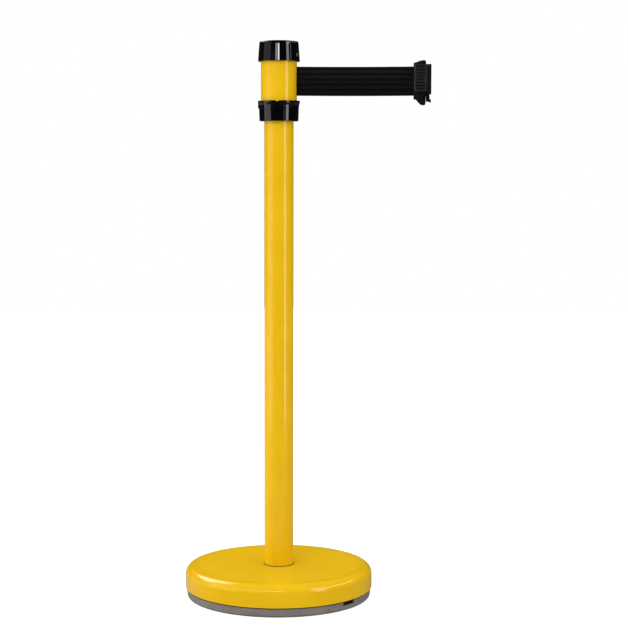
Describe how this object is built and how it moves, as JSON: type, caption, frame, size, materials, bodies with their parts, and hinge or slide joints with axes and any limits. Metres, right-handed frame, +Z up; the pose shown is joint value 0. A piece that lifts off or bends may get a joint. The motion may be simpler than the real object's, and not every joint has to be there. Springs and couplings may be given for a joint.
{
  "type": "retractable belt barrier post",
  "caption": "Free-standing barrier post on a weighted round base, with a sprung belt that draws out of its head and ends in a hooked clip.",
  "frame": {"origin": "on the floor, on the axis of the post", "axes": "+Z up along the post, +X the way the belt is drawn out, -Y the front of the head"},
  "size_m": [0.4276, 0.329, 0.9738],
  "materials": {
    "yellow_coat": "glossy yellow powder coat on steel",
    "gloss_black": "polished black injection moulding",
    "matte_black": "fine satin black moulding",
    "webbing": "black polyester webbing with fine ribs along it",
    "grey_tray": "grey moulded vinyl, satin",
    "concrete": "cast concrete",
    "seal_rubber": "black rubber",
    "zinc_fastener": "bright zinc plate",
    "turned_steel": "turned steel",
    "die_cast": "as cast",
    "spring_steel": "blued spring strip",
    "bronze": "sintered bronze",
    "reel_nylon": "natural nylon",
    "housing_nylon": "glass-filled nylon",
    "lining": "moulded friction lining"
  },
  "bodies": {
    "stand": {"base_tray": "grey_tray", "ballast": "concrete", "base_cover": "yellow_coat", "cover_seal": "seal_rubber", "anchor_bolt": "zinc_fastener", "anchor_washer": "zinc_fastener", "foot_plug": "turned_steel", "post_tube": "yellow_coat", "neck_plug": "turned_steel", "collar": "gloss_black", "head_tube": "yellow_coat", "belt_guide": "matte_black", "cap": "gloss_black", "cap_screws": "zinc_fastener", "spindle": "turned_steel", "spindle_washer": "zinc_fastener", "spindle_nuts": "zinc_fastener", "spring_housing": "housing_nylon", "spring_cover": "turned_steel", "power_spring": "spring_steel", "brake_drum": "die_cast", "belt_lead": "webbing"},
    "reel": {"reel": "reel_nylon", "reel_arbor": "turned_steel", "reel_bushes": "bronze", "belt_roll": "webbing", "brake_carrier": "turned_steel", "brake_pins": "zinc_fastener", "shoe_springs": "spring_steel"},
    "shoe_a": {"brake_shoe_a": "die_cast", "brake_lining_a": "lining"},
    "shoe_b": {"brake_shoe_b": "die_cast", "brake_lining_b": "lining"},
    "belt_end": {"belt_strap": "webbing", "belt_loop": "webbing", "belt_bar": "zinc_fastener", "clip_front": "matte_black", "clip_back": "matte_black", "grip_front": "matte_black", "grip_back": "matte_black", "hook": "matte_black", "clip_screws": "zinc_fastener"}
  },
  "joints": [
    {"name": "belt_pull", "type": "slide", "parent": "stand", "child": "belt_end", "axis": [1, 0, 0], "range_m": [-0.201, 2.0986], "stiffness_N_per_m": 1.5, "springref_m": -3, "deforming": ["belt_strap"]},
    {"name": "reel_spin", "type": "hinge", "parent": "stand", "child": "reel", "pos_m": [0, 0, 0.9037], "axis": [0, 0, 1], "range_deg": [-7700, 760], "deforming": ["power_spring"]},
    {"name": "brake_shoe_a_swing", "type": "hinge", "parent": "reel", "child": "shoe_a", "pos_m": [0.02155, 0, 0.936], "axis": [0, 0, -1], "range_deg": [0, 2], "stiffness_Nm_per_rad": 0.05, "deforming": ["shoe_springs"]},
    {"name": "brake_shoe_b_swing", "type": "hinge", "parent": "reel", "child": "shoe_b", "pos_m": [-0.02155, 0, 0.936], "axis": [0, 0, -1], "range_deg": [0, 2], "stiffness_Nm_per_rad": 0.05}
  ],
  "couplings": [
    {"joint": "reel_spin", "follows": "belt_pull", "rad_per_m": -63.151}
  ]
}
